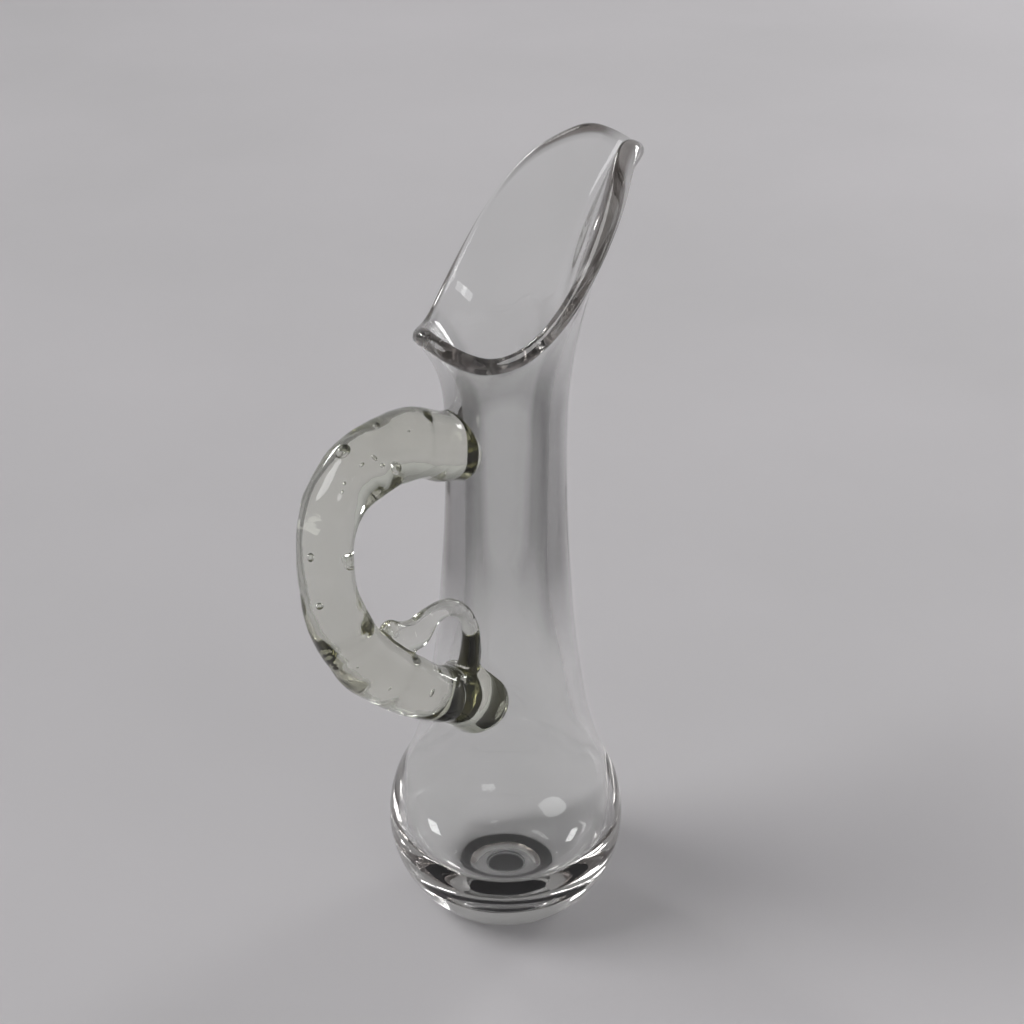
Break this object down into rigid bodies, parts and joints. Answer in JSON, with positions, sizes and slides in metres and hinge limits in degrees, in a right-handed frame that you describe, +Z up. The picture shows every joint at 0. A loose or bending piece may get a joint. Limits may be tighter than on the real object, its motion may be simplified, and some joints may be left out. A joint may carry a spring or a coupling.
{
  "type": "glass jug",
  "caption": "Heavy hand-blown clear glass jug with a round bulb, a long neck, a slanted flared spout and a thick applied handle whose tail curls into an eye.",
  "frame": {"origin": "middle of the base, on the plane of the ring that the jug stands on", "axes": "+Z up along the neck; +X towards the spout's tip; the handle lies on the -X side, turned a little towards -Y"},
  "size_m": [0.1348, 0.082, 0.2732],
  "materials": {
    "clear_glass": "fire-polished, clear, with a faint grey-green tint",
    "handle_glass": "fire-polished, clear, with seeds and cords, faint olive tint",
    "ground_glass": "ground, frosted"
  },
  "bodies": {
    "root": {"blown_body": "clear_glass", "handle": "handle_glass", "upper_handle_seal": "handle_glass", "lower_handle_seal": "handle_glass", "handle_tail_curl": "handle_glass", "punty_mark": "ground_glass"}
  },
  "joints": []
}
